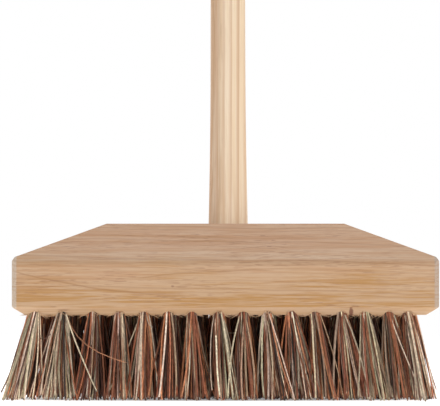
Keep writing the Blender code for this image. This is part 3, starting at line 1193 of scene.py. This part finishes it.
@dataclass
class Tufts:
    """The bristle tufts: bundles of mixed plant fibre, held in drilled holes and trimmed level."""

    block: Block
    hole_radius: float = 0.004
    hole_depth: float = 0.012
    hole_sides: int = 32
    plug_depth_share: float = 0.75
    front_fibres: int = 44
    rear_fibres: int = 46
    fibre_radius: float = 0.00061
    fibre_radius_spread: float = 0.3
    rear_thickness: float = 1.12
    thinnest: float = 0.00043
    thickest: float = 0.00088
    fibre_sides: int = 5
    fibre_steps: tuple[float, ...] = (0.0, 0.17, 0.34, 0.51, 0.68, 0.85, 0.965, 1.0)
    flattest: float = 0.6
    taper: float = 0.12
    bundle_radius: float = 0.0032
    root_depth: float = 0.003
    fill_share: float = 1.1
    scatter_share: float = 0.32
    wild_share: float = 0.10
    wildness: float = 2.4
    bow: float = 0.0011
    wave: float = 0.0002
    waves: float = 1.5
    tip_height: float = 0.0003
    ragged: float = 0.0034
    ragged_power: float = 1.5
    short_share: float = 0.05
    shortest: float = 0.006
    reach: Span = (-0.1520, 0.1465)
    reach_pull: float = 0.6
    # Painted shade: most fibres' cut tips are darkened, standing in for the shadow at their ends.
    tip_shade_share: float = 0.7
    tip_shade: float = 0.35
    colour_spread: float = 0.22
    colour_limits: Span = (-1.8, 1.4)
    hue_spread: float = 0.035
    map_margin: float = 0.06
    seed: int = 12
    smooth_angle: float = math.radians(80)
    blends: tuple[Blend, ...] = (
        Blend.PALE, Blend.PALE, Blend.DARK, Blend.MIXED,
        Blend.MIXED, Blend.DARK, Blend.RUSTY, Blend.OLIVE,
        Blend.RUSTY, Blend.MIXED, Blend.MIXED, Blend.RUSTY,
        Blend.RUSTY, Blend.OLIVE, Blend.MIXED, Blend.MIXED,
    )
    leans: tuple[float, ...] = (
        -0.0014, 0.0022, 0.0, 0.0017, 0.0, -0.001, 0.002, 0.002,
        0.002, 0.0065, 0.0065, 0.0045, 0.0045, 0.003, 0.0, -0.003,
    )
    strays: tuple[Stray, ...] = (
        Stray(1, FibreKind.CREAM, (3, -5, 0), (13, -14, -27), (25, -21, -53), 0.5),
        Stray(1, FibreKind.RUST, (4, -4, -1), (17.2, -14, -20.5), (46, -20, -33), 0.4),
        Stray(4, FibreKind.RUST, (1, -3, 0), (6, -9, -28), (13.7, -14, -54), 0.4),
        Stray(9, FibreKind.RUST, (2, -3, 1), (7.5, -11, -28), (17, -16, -55), 0.6),
        Stray(10, FibreKind.RUST, (3, -3, -3), (9, -11, -30), (17.5, -16, -57), 0.5),
        Stray(12, FibreKind.CREAM, (2, -3, 0), (13.5, -12, -32), (17.5, -17, -58), 0.5),
        Stray(14, FibreKind.CREAM, (0, -3, 1), (11, -12, -28), (24, -17, -58.5), 0.5),
        Stray(2, FibreKind.UMBER, (-5.2, 35, 1), (-9.5, 35, -10), (-16.5, 33, -56), 0.7),
        Stray(2, FibreKind.SOOT, (-6, 34, 1), (-8.8, 34, -14), (-13, 31, -56.5), 0.7),
        Stray(2, FibreKind.UMBER, (-10.6, 52.5, 1), (-7.2, 52, -10), (-3.5, 50, -57), 0.7),
        Stray(2, FibreKind.SOOT, (-10, 53.5, 1), (-8, 53, -16), (-6, 52, -57), 0.7),
        Stray(0, FibreKind.UMBER, (3, -3, -14), (5.5, -6, -17), (11.5, -8, -13), 0.3),
        Stray(4, FibreKind.CREAM, (2, -3, 0), (3.5, -6, -6), (6.5, -7, -8.5), 0.3),
        Stray(7, FibreKind.STRAW, (4, 14, -12), (8, 13, -13), (12.5, 12, -12.5), 0.3),
    )

    def __post_init__(self) -> None:
        """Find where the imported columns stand."""
        self.nodes = sorted(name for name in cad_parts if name.startswith("tuft_column"))
        self.lines = [tuft_lines(node, self.block.low.z) for node in self.nodes]
        self.random = np.random.default_rng(self.seed)

    def drills(self) -> Piece:
        """Make what drills the tuft holes, each in line with its tuft.

        Returns:
            The cutters, as one object.
        """
        overrun = self.block.overrun
        rings = [(self.hole_radius, -overrun), (self.hole_radius, self.hole_depth + overrun)]
        drill = turned_rod("tuft_drill", rings, self.hole_sides)
        places = []
        for column in self.lines:
            for root, tip in column:
                turn = (root - tip).to_track_quat("Z", "Y")
                places.append(Matrix.LocRotScale(root, turn, None))
        return copies_at(drill, places)

    def model_fibre(self) -> Piece:
        """Model one straight fibre of radius 1 and height 1, which the others are copied from."""
        return turned_rod("fibre", [(1.0, step) for step in self.fibre_steps], self.fibre_sides)

    def count(self, row: int) -> int:
        """Give how many fibres a tuft of a row has."""
        return self.front_fibres if row == 0 else self.rear_fibres

    def half_gap(self, middles: list[float], index: int) -> float:
        """Give half the way from a tuft's tips to its nearest neighbour's."""
        gaps = [abs(b - a) for a, b in zip(middles, middles[1:])]
        return min(gaps[max(index - 1, 0) : index + 1]) / 2

    def fan(self, column: int, row: int) -> tuple[np.ndarray, np.ndarray, np.ndarray]:
        """Lay out one tuft's fibres.

        Args:
            column: The tuft's column.
            row: The tuft's row.

        Returns:
            The start, the bending point and the end of each fibre.
        """
        count, rng = self.count(row), self.random
        root, tip = (np.array(point) for point in self.lines[column][row])
        if row == 0:
            tip[0] += self.leans[column]
        across = self.half_gap([line[row][1].x for line in self.lines if row < len(line)], column)
        back = self.half_gap([line[1].y for line in self.lines[column]], row)
        turn = np.arange(count) * math.pi * GOLDEN_SHARE + rng.uniform(0, math.tau)
        reach = np.sqrt((np.arange(count) + 0.5) / count)
        disc = np.stack([reach * np.cos(turn), reach * np.sin(turn)], 1)
        up = (root - tip) / np.linalg.norm(root - tip)
        start = root + up * self.root_depth + np.pad(disc * self.bundle_radius, ((0, 0), (0, 1)))
        scatter = rng.normal(0, self.scatter_share, (count, 2))
        scatter *= np.where(rng.random((count, 1)) < self.wild_share, self.wildness, 1.0)
        end = tip + np.pad((disc * self.fill_share + scatter) * (across, back), ((0, 0), (0, 1)))
        low, high = self.reach
        beyond = np.maximum(low - end[:, 0], 0) - np.maximum(end[:, 0] - high, 0)
        end[:, 0] += self.reach_pull * beyond
        end[:, 2] = self.tip_height + self.ragged * rng.random(count) ** self.ragged_power
        end[:, 2] += np.where(rng.random(count) < self.short_share, self.shortest * rng.random(count), 0.0)
        bend = (start + end) / 2 + rng.normal(0, self.bow, (count, 3)) * (1, 1, 0)
        return start, bend, end

    def kinds(self, column: int, row: int) -> list[FibreKind]:
        """Choose the kind of each of a tuft's fibres.

        Args:
            column: The tuft's column.
            row: The tuft's row.

        Returns:
            The kinds, shuffled.
        """
        # Painted shade: every rear row takes the darker rear mix.
        blend = self.blends[column] if row == 0 else Blend.DEEP
        shares = np.cumsum(blend.value) / sum(blend.value)
        chosen = np.searchsorted(shares, (np.arange(self.count(row)) + 0.5) / self.count(row))
        self.random.shuffle(chosen)
        return [list(FibreKind)[index] for index in chosen]

    def bent_copies(self, fibre: bpy.types.Mesh, lines: np.ndarray, radii: np.ndarray) -> np.ndarray:
        """Bend copies of the straight fibre along their lines.

        Args:
            fibre: The straight fibre.
            lines: The start, bending point and end of each fibre.
            radii: The radius of each fibre.

        Returns:
            The vertices of each copy.
        """
        count, rng = len(radii), self.random
        straight = np.array([vertex.co for vertex in fibre.vertices])
        along = straight[None, :, 2:3]
        start, bend, end = (lines[:, index, None, :] for index in range(3))
        pull = 2 * bend - (start + end) / 2
        middle = (1 - along) ** 2 * start + 2 * along * (1 - along) * pull + along**2 * end
        ahead = 2 * (1 - along) * (pull - start) + 2 * along * (end - pull)
        ahead /= np.linalg.norm(ahead, axis=2, keepdims=True)
        turn = rng.uniform(0, math.tau, (count, 1, 1))
        side = np.concatenate([np.cos(turn), np.sin(turn), np.zeros_like(turn)], 2)
        side = side - ahead * (side * ahead).sum(2, keepdims=True)
        side /= np.linalg.norm(side, axis=2, keepdims=True)
        other = np.cross(ahead, side)
        width = radii[:, None, None] * (1 - self.taper * along)
        flat = rng.uniform(self.flattest, 1.0, (count, 1, 1))
        phase = rng.uniform(0, math.tau, (count, 1, 1))
        ripple = self.wave * along * np.sin(along * math.tau * self.waves + phase)
        round_part = straight[None, :, 0:1] * width * side + straight[None, :, 1:2] * width * flat * other
        return middle + ripple * side + round_part

    def colours(self, kinds: list[FibreKind], along: np.ndarray) -> np.ndarray:
        """Give every vertex of the fibres its colour.

        Args:
            kinds: The kind of each fibre.
            along: Each vertex's place along its fibre, from 0 to 1.

        Returns:
            The colours, with alpha, fibre by fibre.
        """
        rng, count = self.random, len(kinds)
        base = np.array([kind.value[0] for kind in kinds])
        shade = np.clip(rng.normal(0, 1, (count, 1)), *self.colour_limits)
        base = base * np.exp(self.colour_spread * shade)
        base = base * np.exp(rng.normal(0, self.hue_spread, (count, 3)))
        ends = 1 + rng.normal(0, self.colour_spread, (count, 1)) * (along[None, :] - 0.5)
        # Painted shade: the chosen fibres' tips are darkened.
        dark = np.where(rng.random((count, 1)) < self.tip_shade_share, self.tip_shade, 1.0)
        ends = np.where(along[None, :] > 1 - WELD, ends * dark, ends)
        dyed = np.clip(base[:, None, :] * ends[:, :, None], 0, 1)
        return np.concatenate([dyed, np.ones((*dyed.shape[:2], 1))], 2)

    def bake_map(self, fibre: bpy.types.Mesh, count: int) -> np.ndarray:
        """Give each fibre a cell of its own on a map, with its sides unrolled.

        Args:
            fibre: The straight fibre.
            count: How many fibres the map holds.

        Returns:
            The map's place for each face corner, fibre by fibre.
        """
        unrolled, edge = [], self.map_margin
        for face in fibre.polygons:
            corners = [fibre.vertices[index].co for index in face.vertices]
            turns = [math.atan2(corner.y, corner.x) / math.tau % 1.0 for corner in corners]
            heights = [corner.z for corner in corners]
            if max(heights) - min(heights) < WELD:
                level = edge / 2 if heights[0] < 0.5 else 1 - edge / 2
                for corner in corners:
                    unrolled.append((0.5 + corner.x * edge / 2, level + corner.y * edge / 2))
                continue
            if max(turns) - min(turns) > 0.5:
                turns = [turn + 1 if turn < 0.5 else turn for turn in turns]
            lowest = math.floor(min(turns) * self.fibre_sides + 0.5) / self.fibre_sides
            shift = 0.0 if lowest < 1 - 0.5 / self.fibre_sides else 1.0
            for turn, height in zip(turns, heights):
                unrolled.append((turn - shift, edge + (1 - 2 * edge) * height))
        unrolled = np.array(unrolled)
        around = unrolled[:, 0] - unrolled[:, 0].min()
        unrolled[:, 0] = edge + (1 - 2 * edge) * around / around.max()
        cells = math.ceil(math.sqrt(count))
        corner = np.array([(index % cells, index // cells) for index in range(count)])
        return ((corner[:, None, :] + unrolled[None]) / cells).reshape(-1, 2)

    def build_column(self, column: int, fibre: bpy.types.Mesh) -> Piece:
        """Fill one column's four tufts with fibres, and add its strays.

        Args:
            column: The column.
            fibre: The straight fibre that is copied.

        Returns:
            The column's fibres as one piece.
        """
        lines, kinds, radii = [], [], []
        for row in range(len(self.lines[column])):
            lines.append(np.stack(self.fan(column, row), 1))
            kinds += self.kinds(column, row)
            radii += [self.fibre_radius * (self.rear_thickness if row else 1.0)] * self.count(row)
        radii = radii * np.exp(self.random.normal(0, self.fibre_radius_spread, len(kinds)))
        radii = np.clip(radii * [kind.value[1] for kind in kinds], self.thinnest, self.thickest)
        own = [stray for stray in self.strays if stray.column == column]
        root = np.array(self.lines[column][0][0])
        for stray in own:
            lines.append(root + MILLIMETRE * np.array([[stray.start, stray.bend, stray.end]]))
        kinds += [stray.kind for stray in own]
        radii = np.concatenate([radii, [stray.radius * MILLIMETRE for stray in own]])
        places = self.bent_copies(fibre, np.concatenate(lines), radii)
        count, corners = places.shape[:2]
        faces = [
            tuple(index + copy * corners for index in face.vertices)
            for copy in range(count)
            for face in fibre.polygons
        ]
        mesh = bpy.data.meshes.new(f"fibres_{column + 1:02d}")
        mesh.from_pydata(places.reshape(-1, 3).tolist(), [], faces)
        along = np.array([vertex.co.z for vertex in fibre.vertices])
        dye = mesh.color_attributes.new(FIBRE_COLOUR, "FLOAT_COLOR", "POINT")
        dye.data.foreach_set("color", self.colours(kinds, along).ravel().astype(np.float32))
        unrolled = mesh.uv_layers.new(name=BAKE_MAP)
        unrolled.uv.foreach_set("vector", self.bake_map(fibre, count).ravel().astype(np.float32))
        piece = bpy.data.objects.new(mesh.name, mesh)
        bpy.context.collection.objects.link(piece)
        smooth(piece, self.smooth_angle)
        return piece

    def build(self) -> list[Piece]:
        """Fill all the columns.

        Returns:
            The fibres of each column as one piece, from left to right.
        """
        fibre = self.model_fibre()
        columns = [self.build_column(column, fibre.data) for column in range(len(self.lines))]
        bpy.data.objects.remove(fibre)
        return columns

    def dress(self, columns: list[Piece], finish: FibreFinish) -> None:
        """Give the fibres their material.

        Args:
            columns: The fibres of each column.
            finish: What they are made of.
        """
        material = finish.material()
        for piece, node in zip(columns, self.nodes):
            fit(piece, material, "bristle_fibre", node)


@dataclass(frozen=True)
class SoftBox:
    """A large square lamp that looks at the block."""

    name: str
    turn: float
    height: float
    distance: float
    size: float
    power: float

    def hang(self, target: Vector) -> None:
        """Hang the lamp, turned to the right of the camera by its turn and raised by its height.

        Args:
            target: What it looks at.
        """
        level = math.cos(self.height)
        out = Vector((math.sin(self.turn) * level, -math.cos(self.turn) * level, math.sin(self.height)))
        lamp = bpy.data.lights.new(self.name, "AREA")
        lamp.size = self.size
        lamp.energy = self.power
        holder = bpy.data.objects.new(self.name, lamp)
        holder.location = target + out * self.distance
        holder.rotation_euler = out.to_track_quat("Z", "Y").to_euler()
        bpy.context.scene.collection.objects.link(holder)


@dataclass
class Studio:
    """A plain pale floor that fades into white, soft lamps and the photograph's camera."""

    block: Block
    camera_distance: float = 4.0
    view_width: float = 0.3086
    sensor: float = 36.0
    camera_left: float = 0.00385
    camera_height: float = 0.1386
    sight: float = 100.0
    floor_size: float = 4.4
    floor_colour: Colour = (0.86, 0.86, 0.86)
    floor_roughness: float = 0.9
    floor_glow: float = 0.9
    shade: Vector = field(default_factory=lambda: Vector((0.18, 0.045)))
    shade_glow: float = 0.3
    shade_core: float = 0.6
    fade_start: float = 0.9
    fade_end: float = 2.0
    front_glow: float = 0.33
    back_glow: float = 0.42
    glow_span: Span = (-0.3, 0.7)
    backdrop: float = 1.0
    lamps: tuple[SoftBox, ...] = (
        SoftBox("right_lamp", math.radians(56), math.radians(14), 3.2, 1.6, 27.0),
        SoftBox("left_lamp", math.radians(-60), math.radians(12), 3.2, 1.6, 14.0),
        SoftBox("top_lamp", math.radians(175), math.radians(75), 3.2, 2.4, 56.0),
    )

    def add_floor(self) -> None:
        """Lay the floor, which is no part of the brush."""
        size = {"size": self.floor_size, "location": (0, self.block.middle.y, 0)}
        floor = added("studio_floor", bpy.ops.mesh.primitive_plane_add, **size)
        coat = Coat("pale_floor")
        graph = coat.graph
        place = {"Vector": coat.own, "Location": (0, -self.block.middle.y, 0)}
        centred = graph.place("Mapping", place).outputs[0]
        away = graph.place("VectorMath", {0: centred}, operation="LENGTH").outputs["Value"]
        shown = graph.ramp(away, self.fade_start, self.fade_end, 1.0, 0.0)
        # Painted shadow: the floor glows less in an ellipse under the brush, so the floor seen under and
        # between the tufts stays dark.
        squeezed = graph.stretch(centred, (1 / self.shade.x, 1 / self.shade.y, 1.0))
        outside = graph.place("VectorMath", {0: squeezed}, operation="LENGTH").outputs["Value"]
        glow = graph.ramp(outside, self.shade_core, 1.0, self.shade_glow, self.floor_glow)
        look = {"Base Color": (*self.floor_colour, 1.0), "Roughness": self.floor_roughness}
        look |= {"Alpha": shown, "Emission Color": WHITE, "Emission Strength": glow}
        floor.data.materials.append(coat.finish(look))
        LOG.info("studio floor laid")

    def add_world(self) -> None:
        """Surround the brush with white, which lights it less from the front than from behind."""
        world = bpy.data.worlds.new("white_studio")
        world.use_nodes = True
        bpy.context.scene.world = world
        graph = Graph(world.node_tree)
        seen = world.node_tree.nodes["Background"]
        graph.fill(seen, {"Color": WHITE, "Strength": self.backdrop})
        towards = graph.place("TexCoord", {}).outputs["Generated"]
        back = graph.place("SeparateXYZ", {0: towards}).outputs[1]
        strength = graph.ramp(back, *self.glow_span, self.front_glow, self.back_glow)
        felt = graph.place("Background", {"Color": WHITE, "Strength": strength})
        ray = graph.place("LightPath", {}).outputs["Is Camera Ray"]
        mixed = graph.place("MixShader", {0: ray, 1: felt.outputs[0], 2: seen.outputs[0]})
        graph.tree.links.new(mixed.outputs[0], world.node_tree.nodes["World Output"].inputs["Surface"])

    def add_camera(self) -> None:
        """Set the camera where the photograph was taken from."""
        lens = bpy.data.cameras.new("photo_camera")
        lens.sensor_width = self.sensor
        lens.lens = self.sensor * self.camera_distance / self.view_width
        lens.clip_end = self.sight
        camera = bpy.data.objects.new("photo_camera", lens)
        front = self.block.low.y
        across = self.block.middle.x - self.camera_left
        camera.location = (across, front - self.camera_distance, self.camera_height)
        camera.rotation_euler = (math.pi / 2, 0, 0)
        bpy.context.scene.collection.objects.link(camera)
        bpy.context.scene.camera = camera

    def build(self) -> None:
        """Set up the studio."""
        bpy.context.scene.view_settings.view_transform = "Standard"
        self.add_floor()
        self.add_world()
        self.add_camera()
        for lamp in self.lamps:
            lamp.hang(self.block.middle)


BLOCK_WOOD = WoodFinish(
    name="planed_hardwood",
    pale=(0.56, 0.378, 0.240),
    warm=(0.450, 0.235, 0.076),
    tint=(0.515, 0.307, 0.175),
    late=(0.35, 0.175, 0.072),
    pore=(0.33, 0.165, 0.08),
    dark=(0.16, 0.05, 0.028),
    spacing=0.0029,
    side=-0.020,
    height=-0.140,
    slant=0.02,
    wander=0.010,
    ring_share=0.45,
    streak_share=0.8,
    pore_share=0.6,
    tone_and_shade_low=-0.025,
    tone_and_shade_high=0.012,
    # The two end colours paint sheen on the rounded ends; the right one is darker to offset its brighter
    # lamp.
    left_end=(0.540, 0.440, 0.345),
    right_end=(0.435, 0.335, 0.265),
    end_from=0.1462,
    # crown_shade paints shade on the sloping top.
    crown_shade=(0.95, 0.87, 0.80),
    crown_height=0.009,
    # Painted light on the bottom chamfer strip.
    hem_light_height=-0.0262,
    veins=(
        Vein(-0.150, 0.125, -0.018, 0.017, 0.0010, 0.65),
        Vein(-0.062, 0.10, 0.0, -0.006, 0.0009, 0.5),
    ),
    specks=(
        Speck(-0.1137, -0.0285, 0.0050, 0.0006, 0.45),
        Speck(-0.1205, -0.0262, 0.0030, 0.0005, 0.3),
        Speck(-0.0371, -0.0119, 0.0016, 0.0009, 0.5),
        Speck(0.0882, -0.0300, 0.0018, 0.0046, 0.85),
        Speck(0.0912, -0.0258, 0.0040, 0.0007, 0.4),
        Speck(0.0467, -0.0297, 0.0024, 0.0009, 0.9),
        Speck(0.0263, 0.0238, 0.0022, 0.0004, 0.35),
        Speck(0.0337, 0.0203, 0.0020, 0.0004, 0.35),
        Speck(0.0309, 0.0161, 0.0024, 0.0004, 0.5),
    ),
)
HANDLE_WOOD = WoodFinish(
    name="pale_stick_wood",
    pale=(0.99, 0.83, 0.64),
    warm=(0.92, 0.70, 0.47),
    # Painted shade: tint, between its low and high, paints the stick's left side darker and browner, as if
    # less lit.
    tint=(0.62, 0.385, 0.225),
    late=(0.68, 0.41, 0.235),
    pore=(0.50, 0.31, 0.19),
    dark=(0.30, 0.17, 0.10),
    spacing=0.0050,
    side=0.0,
    height=0.1215,
    slant=0.004,
    wander=0.003,
    ring_share=0.85,
    streak_share=0.45,
    pore_share=0.15,
    draw_out=2.2,
    faintest=0.6,
    tone_and_shade_low=0.0045,
    tone_and_shade_high=0.0115,
)


def main() -> None:
    """Build, dress and light the brush."""
    logging.basicConfig(level=logging.INFO, format="%(name)s %(message)s")
    block = Block()
    handle = Handle(block)
    screw = Screw()
    tufts = Tufts(block)
    patterns = WoodPatterns()
    block.dress(block.build(tufts, handle, screw), BLOCK_WOOD, patterns)
    handle.dress(handle.build(screw), HANDLE_WOOD, patterns)
    screw.dress(screw.build(), SteelFinish())
    tufts.dress(tufts.build(), FibreFinish())
    Studio(block).build()


if __name__ == "__main__":
    main()
